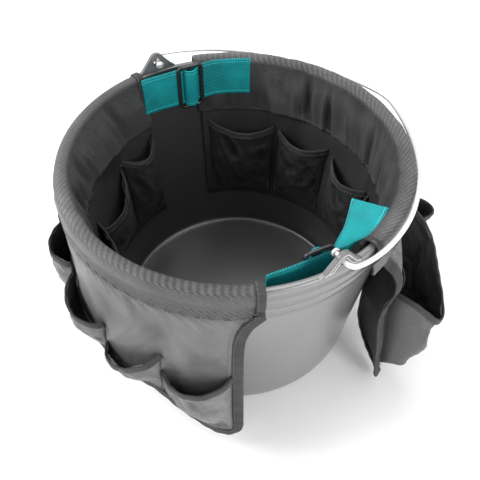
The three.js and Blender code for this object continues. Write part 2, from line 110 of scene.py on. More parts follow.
# ---- materials
class Nodes:
    """A material's node tree, with short calls for the nodes used here."""

    def __init__(self, name):
        self.material = bpy.data.materials.new(name)
        self.material.use_nodes = True
        self.tree = self.material.node_tree
        self.shader = self.tree.nodes["Principled BSDF"]

    def add(self, kind, **settings):
        node = self.tree.nodes.new("ShaderNode" + kind)
        for key, value in settings.items():
            setattr(node, key, value)
        return node

    def link(self, a, b):
        self.tree.links.new(a, b)

    def put(self, value, socket):
        if isinstance(value, bpy.types.NodeSocket):
            self.link(value, socket)
        else:
            socket.default_value = value

    def put_colour(self, value, socket):
        self.put(value if isinstance(value, bpy.types.NodeSocket) else (*value, 1), socket)

    def math(self, operation, a, b=0.0, c=0.0):
        node = self.add("Math", operation=operation)
        for value, socket in zip((a, b, c), node.inputs):
            self.put(value, socket)
        return node.outputs[0]

    def distance(self, x, y):
        return self.math("SQRT", self.math("ADD", self.math("MULTIPLY", x, x), self.math("MULTIPLY", y, y)))

    def mix(self, factor, a, b):
        node = self.add("Mix", data_type="RGBA")
        self.put(factor, node.inputs[0])
        self.put_colour(a, node.inputs[6])
        self.put_colour(b, node.inputs[7])
        return node.outputs[2]

    def noise(self, vector, scale, detail=3.0, roughness=0.55):
        node = self.add("TexNoise")
        self.put(vector, node.inputs["Vector"])
        self.put(scale, node.inputs["Scale"])
        self.put(detail, node.inputs["Detail"])
        self.put(roughness, node.inputs["Roughness"])
        return node.outputs[0]

    def spread(self, value, low, high, to_low=0.0, to_high=1.0):
        node = self.add("MapRange")
        for number, socket in zip((value, low, high, to_low, to_high), node.inputs):
            self.put(number, socket)
        return node.outputs[0]

    def uv(self):
        node = self.add("UVMap", uv_map="cloth")
        return node.outputs[0]

    def position(self):
        return self.add("TexCoord").outputs["Object"]

    def bump(self, height, distance, strength=1.0, normal=None):
        node = self.add("Bump")
        node.inputs["Strength"].default_value = strength
        node.inputs["Distance"].default_value = distance
        self.link(height, node.inputs["Height"])
        if normal is not None:
            self.link(normal, node.inputs["Normal"])
        return node.outputs[0]

    def finish(self, colour, roughness, normal=None, metallic=0.0, sheen=0.0, specular=0.5):
        self.put_colour(colour, self.shader.inputs["Base Color"])
        self.put(roughness, self.shader.inputs["Roughness"])
        self.shader.inputs["Metallic"].default_value = metallic
        self.shader.inputs["Specular IOR Level"].default_value = specular
        self.shader.inputs["Sheen Weight"].default_value = sheen
        self.shader.inputs["Sheen Roughness"].default_value = 0.45
        if normal is not None:
            self.link(normal, self.shader.inputs["Normal"])
        return self.material


def woven(
    name, dark, light, pitch, turn, flecks, relief, roughness, sheen,
    specular=0.35, steps=2, contrast=1.0, inside=None,
):
    """Threads pitch mm apart at turn degrees to the cloth's length, over and under each other.

    Each thread has its own grey, and painted light and shade follow the folds: ridges paler, valleys darker.
    Half of every steps threads lie on top, so more than 2 steps make a twill. inside is the dark and light
    grey of painted shade on the inner side of the rim.
    """
    n = Nodes(name)
    # Painted shade: towards the inner side of the rim the greys change to inside's darker pair.
    if inside:
        split = n.add("SeparateXYZ")
        n.link(n.position(), split.inputs[0])
        across, deep = split.outputs[0], split.outputs[1]
        radius = n.distance(across, deep)
        outer = n.spread(radius, (RIM_INNER - 6) * MM, (RIM_OUTER - 5) * MM)
        dark, light = n.mix(outer, inside[0], dark), n.mix(outer, inside[1], light)
    mapping = n.add("Mapping")
    n.link(n.uv(), mapping.inputs["Vector"])
    mapping.inputs["Rotation"].default_value[2] = math.radians(turn)
    mapping.inputs["Scale"].default_value = (1000 / pitch,) * 3
    split = n.add("SeparateXYZ")
    n.link(mapping.outputs[0], split.inputs[0])
    x, y = split.outputs[0], split.outputs[1]
    cell_x, cell_y = n.math("FLOOR", x), n.math("FLOOR", y)
    over = n.math("LESS_THAN", n.math("FLOORED_MODULO", n.math("ADD", cell_x, cell_y), steps), steps / 2)
    warp = n.math("ABSOLUTE", n.math("SINE", n.math("MULTIPLY", x, math.pi)))
    weft = n.math("ABSOLUTE", n.math("SINE", n.math("MULTIPLY", y, math.pi)))
    under = n.math("SUBTRACT", 1.0, over)
    height = n.math("ADD", n.math("MULTIPLY", warp, over), n.math("MULTIPLY", weft, under))
    cell = n.add("CombineXYZ")
    n.link(cell_x, cell.inputs[0])
    n.link(cell_y, cell.inputs[1])
    random = n.add("TexWhiteNoise", noise_dimensions="2D")
    n.link(cell.outputs[0], random.inputs["Vector"])
    place = n.position()
    fade = n.spread(n.noise(place, 14.0, 4.0), 0.3, 0.7, -0.12, 0.12)
    threads = n.math("ADD", n.math("MULTIPLY", height, 0.45), n.math("MULTIPLY", over, 0.40))
    threads = n.math("ADD", n.math("MULTIPLY", threads, contrast), 0.42 * (1 - contrast))
    tone = n.math("ADD", threads, n.math("MULTIPLY", random.outputs[0], flecks))
    tone = n.math("ADD", tone, fade)
    # Painted light and shade on the folds: their ridges paler, their valleys darker.
    fold_shading = n.add("Attribute", attribute_name="fold_shading").outputs["Fac"]
    tone = n.math("ADD", tone, n.math("MULTIPLY", fold_shading, 0.30))
    colour = n.mix(n.spread(tone, 0.10, 0.80 + flecks), dark, light)
    rough = n.math("ADD", n.math("MULTIPLY", height, -0.10), roughness)
    crease = n.bump(n.noise(place, 60.0, 4.0), 0.0012, 0.35)
    return n.finish(colour, rough, n.bump(height, relief * MM, 0.8, crease), sheen=sheen, specular=specular)


def ribbed(
    name, dark, light, pitch,
    edge_lines=None, width=WEBBING_WIDTH, relief=0.35, roughness=0.7, slant=0.0, sheen=0.2,
):
    """Tape or webbing: ribs across it pitch mm apart, with dashed lines edge_lines mm in from each edge."""
    n = Nodes(name)
    split = n.add("SeparateXYZ")
    n.link(n.uv(), split.inputs[0])
    along = n.math("MULTIPLY", split.outputs[0], 1000.0)
    across = n.math("MULTIPLY", split.outputs[1], 1000.0)
    skewed = n.math("ADD", along, n.math("MULTIPLY", across, slant))
    rib = n.math("ABSOLUTE", n.math("SINE", n.math("MULTIPLY", skewed, math.pi / pitch)))
    thread = n.math("ABSOLUTE", n.math("SINE", n.math("MULTIPLY", across, math.pi / (pitch * 0.9))))
    height = n.math("ADD", n.math("MULTIPLY", rib, 0.7), n.math("MULTIPLY", thread, 0.3))
    place = n.position()
    fade = n.spread(n.noise(place, 30.0, 4.0), 0.3, 0.7, -0.14, 0.14)
    tone = n.math("ADD", n.math("MULTIPLY", height, 0.75), fade)
    colour = n.mix(n.spread(tone, 0.12, 0.75), dark, light)
    if edge_lines:
        from_edge = n.math("SUBTRACT", width / 2, n.math("ABSOLUTE", n.math("SUBTRACT", across, width / 2)))
        line = n.math("LESS_THAN", n.math("ABSOLUTE", n.math("SUBTRACT", from_edge, edge_lines)), 0.7)
        dashes = n.math("GREATER_THAN", n.math("SINE", n.math("MULTIPLY", along, 2.1)), -0.4)
        pale = tuple(min(1.0, c * 1.5 + 0.05) for c in light)
        colour = n.mix(n.math("MULTIPLY", n.math("MULTIPLY", line, dashes), 0.75), colour, pale)
    rough = n.math("ADD", n.math("MULTIPLY", height, -0.12), roughness)
    return n.finish(colour, rough, n.bump(height, relief * MM, 0.9), sheen=sheen, specular=0.4)


def moulded(name, colour, dark, roughness, grain=900.0, relief=0.05, metallic=0.0, specular=0.5):
    """Satin plastic or coated metal: fine grain, scuffs in the roughness, slight change of tone."""
    n = Nodes(name)
    place = n.position()
    cloud = n.spread(n.noise(place, 9.0, 5.0), 0.3, 0.7)
    scuff = n.spread(n.noise(place, 30.0, 5.0, 0.6), 0.4, 0.7, 0.0, 0.10)
    grained = n.noise(place, grain, 2.0)
    tone = n.mix(n.math("MULTIPLY", cloud, 0.5), colour, dark)
    rough = n.math("ADD", scuff, roughness)
    normal = n.bump(grained, relief * MM, 0.5)
    return n.finish(tone, rough, normal, metallic=metallic, specular=specular)


def bucket_material():
    """Smooth satin silver-grey outside; the inside is painted darker, as painted shade."""
    n = Nodes("bucket_satin")
    place = n.position()
    split = n.add("SeparateXYZ")
    n.link(place, split.inputs[0])
    x, y, z = split.outputs
    radius = n.distance(x, y)
    # Painted shade: below the rim and above the floor, the inside gets a far darker grey than the outside.
    slope = (LIP_INSIDE - FLOOR_INSIDE) / (BUCKET_HEIGHT - FLOOR)
    wall = n.math("ADD", n.math("MULTIPLY", z, slope), (FLOOR_INSIDE + 1.0) * MM)
    inside = n.math("LESS_THAN", radius, wall)
    above = n.math("GREATER_THAN", z, 0.003)
    inside = n.math("MULTIPLY", inside, above)
    cloud = n.spread(n.noise(place, 7.0, 1.0), 0.3, 0.7)
    outer = n.mix(cloud, (0.135, 0.136, 0.138), (0.118, 0.119, 0.121))
    colour = n.mix(inside, outer, (0.036, 0.036, 0.038))
    rough = n.spread(n.noise(place, 12.0, 1.0), 0.3, 0.7, 0.34, 0.40)
    n.shader.inputs["Coat Weight"].default_value = 0.9
    n.shader.inputs["Coat Roughness"].default_value = 0.3
    return n.finish(colour, rough, specular=0.7)


# The cloth of the outer panels and pockets.
PACKCLOTH = dict(
    pitch=1.5, turn=12, flecks=0.16, relief=0.14, roughness=0.50, sheen=0.04,
    specular=0.5, steps=4, contrast=0.32,
)
MATERIALS = {
    "weave": woven(
        "rim_weave", (0.018, 0.018, 0.019), (0.168, 0.168, 0.170), pitch=0.98, turn=-22, flecks=0.30,
        relief=0.14, roughness=0.54, sheen=0.03, specular=0.45, steps=4, contrast=0.75,
        # inside: painted shade, darker greys on the inner side of the rim.
        inside=((0.004, 0.004, 0.005), (0.074, 0.074, 0.076)),
    ),
    "cloth": woven("pocket_cloth", (0.056, 0.056, 0.057), (0.164, 0.165, 0.167), **PACKCLOTH),
    # A darker copy of the pocket cloth for the pockets on the drill half: painted shade.
    "pouch": woven("pouch_cloth", (0.040, 0.040, 0.041), (0.116, 0.117, 0.119), **PACKCLOTH),
    "lining": woven(
        "lining_cloth", (0.008, 0.008, 0.009), (0.040, 0.040, 0.042), pitch=1.6, turn=0, flecks=0.15,
        relief=0.25, roughness=0.55, sheen=0.02, specular=0.4,
    ),
    "tape": ribbed(
        "binding_tape", (0.002, 0.002, 0.003), (0.058, 0.058, 0.060), 2.0, slant=0.7, relief=0.7, sheen=0.02,
    ),
    "webbing": ribbed(
        "webbing", (0.0, 0.060, 0.068), (0.001, 0.42, 0.45), 3.0,
        edge_lines=4.0, relief=0.55, slant=0.6, sheen=0.0,
    ),
    "thread": ribbed("thread", (0.08, 0.08, 0.08), (0.24, 0.24, 0.24), 0.5, relief=0.05, sheen=0.0),
    "bucket": bucket_material(),
    "ear": moulded("ear_satin", (0.16, 0.16, 0.165), (0.10, 0.10, 0.105), 0.30),
    # The pale grey of the ribs is a painted highlight.
    "ear_rib": moulded("ear_rib_painted_highlight", (0.55, 0.55, 0.56), (0.45, 0.45, 0.46), 0.28),
    "wire": moulded("bail_zinc", (0.86, 0.86, 0.85), (0.72, 0.72, 0.72), 0.24, 500.0, 0.03, 0.55),
    "buckle": moulded(
        "buckle_gunmetal", (0.060, 0.060, 0.064), (0.035, 0.035, 0.038), 0.25, 700.0, 0.03, 0.6,
    ),
}


# ---- meshes
def add_object(name, data):
    made = bpy.data.objects.new(name, data)
    bpy.context.scene.collection.objects.link(made)
    return made


def add_piece(name, points, faces, uv, looks, face_looks=None, body="bucket", stands_for=()):
    """A piece from points in mm, faces and a UV in mm for each point. looks names its materials."""
    mesh = bpy.data.meshes.new(name)
    mesh.from_pydata((np.asarray(points) * MM).tolist(), [], faces)
    layer = mesh.uv_layers.new(name="cloth")
    corner = np.zeros(len(mesh.loops), np.int32)
    mesh.loops.foreach_get("vertex_index", corner)
    layer.data.foreach_set("uv", (np.asarray(uv)[corner] * MM).astype(np.float32).ravel())
    for look in looks:
        mesh.materials.append(MATERIALS[look])
    if face_looks is not None:
        mesh.polygons.foreach_set("material_index", np.asarray(face_looks, np.int32))
    mesh.polygons.foreach_set("use_smooth", np.ones(len(mesh.polygons), bool))
    mesh.update()
    piece = add_object(name, mesh)
    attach(piece, body)
    if stands_for:
        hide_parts(*stands_for)
    return piece


def grid_normals(p):
    along = np.gradient(p, axis=0)
    up = np.gradient(p, axis=1)
    return unit(np.cross(along, up))


def arc_lengths(p, axis):
    step = np.linalg.norm(np.diff(p, axis=axis), axis=-1)
    total = np.cumsum(step, axis=axis)
    return np.concatenate([np.zeros_like(total[:1] if axis == 0 else total[:, :1]), total], axis=axis)


def path_length(path):
    return np.concatenate([[0], np.cumsum(np.linalg.norm(np.diff(path, axis=0), axis=1))])


def cut_size(p):
    """A grid's cloth laid flat: width and length in metres, rounded up to a millimetre, and area."""
    width, length = arc_lengths(p, 0)[-1].max(), arc_lengths(p, 1)[:, -1].max()
    across = np.cross(np.diff(p[:, :-1], axis=0), np.diff(p[:-1], axis=1))
    area = np.linalg.norm(across, axis=-1).sum() * 1e-6
    flat = (math.ceil(width) * MM, math.ceil(length) * MM)
    return flat, max(min(area, flat[0] * flat[1]), 0.3 * flat[0] * flat[1])


def sheet_faces(columns, rows):
    """Quads of the closed solid between two grids, and which of them are on the back."""
    i, k = np.meshgrid(np.arange(columns - 1), np.arange(rows - 1), indexing="ij")
    i, k = i.ravel(), k.ravel()
    a, b, c, d = i * rows + k, (i + 1) * rows + k, (i + 1) * rows + k + 1, i * rows + k + 1
    n = columns * rows
    quads = [np.stack([a, b, c, d], 1), np.stack([a, d, c, b], 1) + n]
    i = np.arange(columns - 1)
    low, high = i * rows, i * rows + rows - 1
    quads.append(np.stack([low, low + n, low + rows + n, low + rows], 1))
    quads.append(np.stack([high, high + rows, high + rows + n, high + n], 1))
    k = np.arange(rows - 1)
    last = (columns - 1) * rows + k
    quads.append(np.stack([k, k + 1, k + 1 + n, k + n], 1))
    quads.append(np.stack([last, last + n, last + 1 + n, last + 1], 1))
    back = np.concatenate([np.full(len(q), int(j == 1)) for j, q in enumerate(quads)])
    return np.concatenate(quads).tolist(), back


SHEETS = []


def add_sheet(
    name, surface, columns, rows, front, back,
    wrinkle=None, thickness=CLOTH, held=None, rests=(), body="bucket", nodes=(),
):
    """A closed sheet whose front is surface(u, v), moved along its normal by wrinkle(s, t, u, v)."""
    u = np.linspace(0, 1, columns + 1)[:, None]
    v = np.linspace(0, 1, rows + 1)[None, :]
    u, v = np.broadcast_arrays(u, v)
    p = surface(u, v)
    s, t = arc_lengths(p, 0), arc_lengths(p, 1)
    flat, area = cut_size(p)
    # Each point's fold height, scaled to -1..1, is kept for painted light and shade in the cloth's colour.
    fold_shading = np.zeros(p.shape[:2])
    if wrinkle is not None:
        lift = wrinkle(s, t, u, v)
        fold_shading = np.clip((lift - lift.mean()) / (2 * lift.std() + 1e-6), -1, 1)
        p = p + grid_normals(p) * lift[..., None]
    behind = p - grid_normals(p) * thickness
    faces, is_back = sheet_faces(columns + 1, rows + 1)
    points = np.concatenate([p.reshape(-1, 3), behind.reshape(-1, 3)])
    uv = np.tile(np.stack([s, t], -1).reshape(-1, 2), (2, 1))
    looks = [front] if front == back else [front, back]
    piece = add_piece(name, points, faces, uv, looks, is_back if len(looks) > 1 else None, body, nodes)
    fold_shading_layer = piece.data.attributes.new("fold_shading", "FLOAT", "POINT")
    fold_shading_layer.data.foreach_set("value", np.tile(fold_shading.reshape(-1), 2).astype(np.float32))
    if held:
        SHEETS.append([piece, flat, area, held, list(rests), []])
    return piece


def goes_with(sheet_piece, piece):
    next(row for row in SHEETS if row[0] == sheet_piece)[5].append(piece)


def ring(sides, power):
    a = np.linspace(0, 2 * math.pi, sides, endpoint=False)
    x, y = np.cos(a), np.sin(a)
    return np.sign(x) * np.abs(x) ** power, np.sign(y) * np.abs(y) ** power


def sweep(centre, across, normal, width, thickness, sides=14, power=0.55, closed=False):
    """Points, faces and UV of a rounded strip along centre. width and thickness may change along it."""
    rx, ry = ring(sides, power)
    width, thickness = np.broadcast_to(width, len(centre)), np.broadcast_to(thickness, len(centre))
    points = (
        centre[:, None]
        + across[:, None] * (rx[None, :, None] * width[:, None, None] / 2)
        + normal[:, None] * (ry[None, :, None] * thickness[:, None, None] / 2)
    )
    n = len(centre)
    i = np.arange(n if closed else n - 1)[:, None]
    k = np.arange(sides)[None, :]
    j, m = (i + 1) % n, (k + 1) % sides
    quads = np.stack([i * sides + k, j * sides + k, j * sides + m, i * sides + m], -1).reshape(-1, 4).tolist()
    if not closed:
        quads.append(list(range(sides)))
        quads.append(list(range((n - 1) * sides, n * sides))[::-1])
    length = path_length(centre)
    uv = np.stack(np.broadcast_arrays(length[:, None], (rx[None] + 1) * width[:, None] / 2), -1)
    points, uv = points.reshape(-1, 3), uv.reshape(-1, 2)
    # Faces point out when across, normal and the way along the strip are right-handed.
    along = unit(centre[min(1, n - 1)] - centre[0])
    if np.dot(np.cross(across[0], normal[0]), along) > 0:
        quads = [q[::-1] for q in quads]
    return points, quads, uv


def merged(parts):
    points, faces, uvs, start = [], [], [], 0
    for p, f, uv in parts:
        points.append(p)
        uvs.append(uv)
        faces += [[a + start for a in q] for q in f]
        start += len(p)
    return np.concatenate(points), faces, np.concatenate(uvs)


def resample(path, step):
    path = np.asarray(path, float)
    length = path_length(path)
    count = max(2, int(round(length[-1] / step)) + 1)
    at = np.linspace(0, length[-1], count)
    return np.stack([np.interp(at, length, path[:, c]) for c in range(3)], 1)


STITCHES = []


def stitch(path, normal_at, length=3.0, pitch=4.4, thickness=0.75):
    """A row of stitches along path: small rounded threads lying on the cloth."""
    line = resample(path, pitch)
    mid = (line[1:] + line[:-1]) / 2
    along = unit(line[1:] - line[:-1])
    normal = unit(normal_at(mid))
    side = unit(np.cross(along, normal))
    rings = []
    a = np.linspace(0, 2 * math.pi, 6, endpoint=False)
    for shift, size in ((-0.5, 0.25), (-0.28, 0.95), (0.0, 1.0), (0.28, 0.95), (0.5, 0.25)):
        centre = mid + along * shift * length
        circle = side[:, None] * np.cos(a)[None, :, None] + normal[:, None] * np.sin(a)[None, :, None]
        rings.append(centre[:, None] + circle * size * thickness / 2)
    points = np.stack(rings, 1)
    count, levels, sides = points.shape[:3]
    base = np.arange(count)[:, None, None] * levels * sides
    level = np.arange(levels - 1)[None, :, None] * sides
    k = np.arange(sides)[None, None, :]
    m = (k + 1) % sides
    here = base + level
    quads = np.stack([here + k, here + m, here + sides + m, here + sides + k], -1)
    ends = [list(range(b + sides - 1, b - 1, -1)) for b in base.ravel()]
    ends += [list(range(b + (levels - 1) * sides, b + levels * sides)) for b in base.ravel()]
    uv = np.zeros((count * levels * sides, 2))
    uv[:, 0] = np.tile(np.repeat(np.linspace(0, length, levels), sides), count)
    STITCHES.append((points.reshape(-1, 3), quads.reshape(-1, 4).tolist() + ends, uv))


def add_stitches(name):
    """All stitches so far as one piece."""
    points, faces, uv = merged(STITCHES)
    add_piece(name, points, faces, uv, ["thread"])


def outward(points):
    out = np.array(points, float)
    out[..., 2] = 0
    return unit(out)


def inward(points):
    return -outward(points)


def tape(name, path, inside, normal_at, width, thickness, nodes):
    """Binding tape with a row of stitches, its outer edge on path. inside is a path just inside the cloth."""
    along = unit(np.gradient(path, axis=0))
    across = inside - path
    across = unit(across - along * (across * along).sum(-1, keepdims=True))
    normal = unit(np.cross(along, across))
    flip = (normal * normal_at(path)).sum(-1, keepdims=True) < 0
    normal = np.where(flip, -normal, normal)
    length = path_length(path)
    ripple = (0.3 * np.sin(length / 2.9 + 2 * np.sin(length / 23.0)) + 0.5 * np.sin(length / 11.0))[:, None]
    centre = path + across * (width / 2 - 0.8) + normal * ripple
    points, faces, uv = sweep(centre, across, normal, width, thickness)
    piece = add_piece(name, points, faces, uv, ["tape"], stands_for=nodes)
    row = path + across * (width - 2.6) + normal * (thickness * 0.5 + 0.05 + ripple)
    stitch(row, normal_at)
    return piece


# ---- bucket, ears and bail
def bucket_radius(z):
    return lerp(BASE_RADIUS, WALL_AT_LIP, z / LIP_UNDERSIDE)


def inside_radius(z):
    return lerp(FLOOR_INSIDE, LIP_INSIDE, (z - FLOOR) / (BUCKET_HEIGHT - FLOOR))


def lining_radius(z):
    return inside_radius(z) - 2.8


def make_bucket():
    def wall(z, proud=0.0):
        return (bucket_radius(z) + proud, z)

    profile = [(0, 0.8), (118, 0.8), (120, 0), (144, 0), (147.5, 0.8), (149.4, 2.6), (150.4, 5.5)]
    profile += [wall(z) for z in (14, 30, 60, 90, 120, 150, 180, 205)]
    for z in (214, 228):
        profile += [wall(z - 2.2), wall(z - 1.1, 0.8), wall(z + 1.1, 0.8), wall(z + 2.2)]
    profile += [wall(240), wall(242.6), (181.2, 243.6), (182.8, 244.0), (183.2, 244.7)]
    profile += [(183.2, 251.2), (183.5, 251.8), (184.4, 252.0), (185, 252.8), (185, 260)]
    profile += [(184.4, 261.3), (183.2, 262), (179.4, 262), (178.3, 261.4), (177.9, 260)]
    profile += [(inside_radius(z), z) for z in (250, 235, 200, 150, 100, 50, 20, 9)]
    profile += [(146.6, 5.6), (143.5, 4.2), (138, 4), (70, 4), (0, 4)]
    profile = np.array(profile, float)
    sides = 144
    angle = np.linspace(0, 2 * math.pi, sides, endpoint=False)
    body = profile[1:-1]
    points = np.stack(
        [
            body[:, 0][:, None] * np.cos(angle),
            body[:, 0][:, None] * np.sin(angle),
            np.broadcast_to(body[:, 1][:, None], (len(body), sides)),
        ],
        -1,
    ).reshape(-1, 3)
    points = np.concatenate([points, [[0, 0, profile[0][1]], [0, 0, profile[-1][1]]]])
    i = np.arange(len(body) - 1)[:, None]
    k = np.arange(sides)[None]
    m = (k + 1) % sides
    faces = np.stack([i * sides + k, i * sides + m, (i + 1) * sides + m, (i + 1) * sides + k], -1)
    faces = faces.reshape(-1, 4).tolist()
    low, high, top = len(points) - 2, len(points) - 1, (len(body) - 1) * sides
    faces += [[low, (j + 1) % sides, j] for j in range(sides)]
    faces += [[high, top + j, top + (j + 1) % sides] for j in range(sides)]
    uv = points[:, :2].copy()
    add_piece("bucket_shell_finish", points, faces, uv, ["bucket"], stands_for=["bucket_shell"])


def make_ears():
    """The ear plates keep their CAD shape, with softened edges, and get two raised ribs, coloured pale as a
    painted highlight.
    """
    for name, side in (("ear_front", 1), ("ear_rear", -1)):
        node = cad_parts[name]
        node.data.materials.clear()
        node.data.materials.append(MATERIALS["ear"])
        weld = node.modifiers.new("weld", "WELD")
        weld.merge_threshold = 1e-5
        bevel = node.modifiers.new("bevel", "BEVEL")
        bevel.width = 0.0007
        bevel.segments = 3
        bevel.limit_method = "ANGLE"
        face_x = side * 185.6
        parts = []
        for offset in (2.6, 6.0):
            half_base = 24 - offset * 1.5
            left = [(-half_base, 2.0), (-half_base + 4.5, 3.4), (-8.1 + offset * 0.55, 16.6 - offset * 0.35)]
            arc = [
                ((9 - offset) * math.cos(a), 13 + (9 - offset) * math.sin(a))
                for a in np.radians(np.linspace(150, 30, 13))
            ]
            line = left[:2] + arc + [(-y, z) for y, z in reversed(left[:2])]
            path = resample([(face_x, y, BUCKET_HEIGHT + 0.4 + z) for y, z in line], 1.2)
            along = unit(np.gradient(path, axis=0))
            normal = np.broadcast_to([float(side), 0, 0], path.shape)
            parts.append(sweep(path, unit(np.cross(along, normal)), normal, 1.3, 1.4, 8, 0.8))
        points, faces, uv = merged(parts)
        add_piece(name + "_ribs", points, faces, uv, ["ear_rib"])


def catmull(points, count):
    """Centripetal Catmull-Rom through points, count samples in each span."""
    points = np.asarray(points, float)
    ends = [2 * points[0] - points[1], *points, 2 * points[-1] - points[-2]]
    out = []
    for a, b, c, d in zip(ends, ends[1:], ends[2:], ends[3:]):
        t0 = 0.0
        t1 = t0 + np.linalg.norm(b - a) ** 0.5
        t2 = t1 + np.linalg.norm(c - b) ** 0.5
        t3 = t2 + np.linalg.norm(d - c) ** 0.5
        for t in np.linspace(t1, t2, count, endpoint=False):
            p = (t1 - t) / (t1 - t0) * a + (t - t0) / (t1 - t0) * b
            q = (t2 - t) / (t2 - t1) * b + (t - t1) / (t2 - t1) * c
            r = (t3 - t) / (t3 - t2) * c + (t - t2) / (t3 - t2) * d
            m = (t2 - t) / (t2 - t0) * p + (t - t0) / (t2 - t0) * q
            n = (t3 - t) / (t3 - t1) * q + (t - t1) / (t3 - t1) * r
            out.append((t2 - t) / (t2 - t1) * m + (t - t1) / (t2 - t1) * n)
    out.append(points[-1])
    return np.array(out)


def make_bail():
    side = [(172, 0), (183, 0), (190, 0.6), (194.6, 4), (196, 11), (195, 28), (187.4, 58), (171, 93)]
    side += [(145.5, 127), (113, 157), (77, 181), (41, 199), (12, 209)]
    route = side + [(0, 210.5)] + [(-x, y) for x, y in reversed(side)]
    flat = catmull([(x, y, 0) for x, y in route], 9)
    along = unit(np.gradient(flat, axis=0))
    up = np.broadcast_to([0.0, 0, 1], flat.shape)
    parts = [sweep(flat, unit(np.cross(along, up)), up, 2 * WIRE_RADIUS, 2 * WIRE_RADIUS, 14, 1.0)]
    for x in (173, -173):
        shape = [(-2.4, 1.2), (-2.0, 3.4), (-1.0, 4.4), (0.8, 4.5), (1.7, 3.6), (2.2, 1.4)]
        centre = np.array([(x + (a if x > 0 else -a), 0, 0) for a, _ in shape], float)
        width = np.array([2 * r for _, r in shape], float)
        y = np.broadcast_to([0.0, 1, 0], centre.shape)
        z = np.broadcast_to([0.0, 0, 1], centre.shape)
        parts.append(sweep(centre, y, z, width, width, 18, 1.0))
    points, faces, uv = merged(parts)
    a = math.radians(-BAIL_DROOP)
    y, z = points[:, 1].copy(), points[:, 2].copy()
    points[:, 1] = y * math.cos(a) - z * math.sin(a)
    points[:, 2] = y * math.sin(a) + z * math.cos(a) + HINGE_HEIGHT
    add_piece("bail_wire_finish", points, faces, uv, ["wire"], body="bail", stands_for=["bail_wire"])


# ---- the two halves
def pliers_radius(angle, z):
    hang = (BAND_OUTER_Z - z) / BAND_OUTER_Z
    return np.broadcast_arrays(lerp(PANEL_TOP, PLIERS_HEM_RADIUS, hang), angle)[0]


def drill_radius(angle, z):
    hang = np.maximum(0, BAND_OUTER_Z - z)
    free = lerp(PANEL_TOP, DRILL_HEM_RADIUS, (hang / BAND_OUTER_Z) ** FREE_HANG_POWER)
    pressed = lerp(PANEL_TOP, PRESSED_HEM_RADIUS, np.minimum(1, hang / PRESSED_BELOW))
    hold = smooth(21, 41, angle) * smooth(157, 138, angle)
    belly = np.exp(-(((z - EDGE_BELLY_Z) / EDGE_BELLY_SPREAD) ** 2)) * smooth(BAND_OUTER_Z + 2, 208, z)
    return lerp(free, pressed, hold) + EDGE_BELLY * belly * smooth(40, 21, angle)


HALVES = {
    "pliers": dict(
        low=-166, high=-29, rim=(-172, -23), top=(-172, -23), corner=20, radius=pliers_radius, seed=11,
    ),
    "drill": dict(low=21, high=157, rim=(13, 165), top=(18, 165), corner=5, radius=drill_radius, seed=47),
}


def hem_height(half, angle):
    d = np.minimum(angle - half["low"], half["high"] - angle)
    hem = lerp(half["corner"], HEM_UNDER_POCKETS, smooth(4, 31, d)) + HEM_RISE * smooth(36, 60, d)
    inside = CORNER_RADIUS - np.clip(np.radians(d) * 200, 0, CORNER_RADIUS)
    return hem + CORNER_RADIUS - np.sqrt(np.maximum(CORNER_RADIUS**2 - inside**2, 0))


def edge_angle(half, end, z):
    return lerp(half[end], half["top"][0 if end == "low" else 1], np.exp((z - BAND_OUTER_Z) / EDGE_CURVE))


def panel_height(foot, v):
    top = BAND_OUTER_Z + PANEL_LAP
    curve = top - CURVE_HEIGHT
    return np.where(v < 0.6, lerp(foot, curve, v / 0.6), lerp(curve, top, (v - 0.6) / 0.4))


def band_profile():
    """The rim band's radius and height at a share of its section, from outside over the lip to inside."""
    middle, reach = (RIM_OUTER + RIM_INNER) / 2, (RIM_OUTER - RIM_INNER) / 2
    shoulder = RIM_TOP - reach * 0.75
    foot = inside_radius(BAND_INNER_Z) - 3.2
    turn = np.linspace(0, math.pi, 40)
    arc = np.stack([middle + reach * np.cos(turn), shoulder + reach * 0.75 * np.sin(turn) ** 0.8], 1)
    low_z = np.linspace(BAND_OUTER_Z, 258, 22)
    waist, bulge = np.exp(-(((low_z - 239) / 5.5) ** 2)), np.exp(-(((low_z - 254) / 7) ** 2))
    low_r = RIM_OUTER - 0.2 - 2.3 * waist + 0.9 * bulge
    section = np.concatenate([np.stack([low_r, low_z], 1), arc, [[foot, BAND_INNER_Z]]])
    length = path_length(section)
    length /= length[-1]
    return lambda v: (np.interp(v, length, section[:, 0]), np.interp(v, length, section[:, 1]))


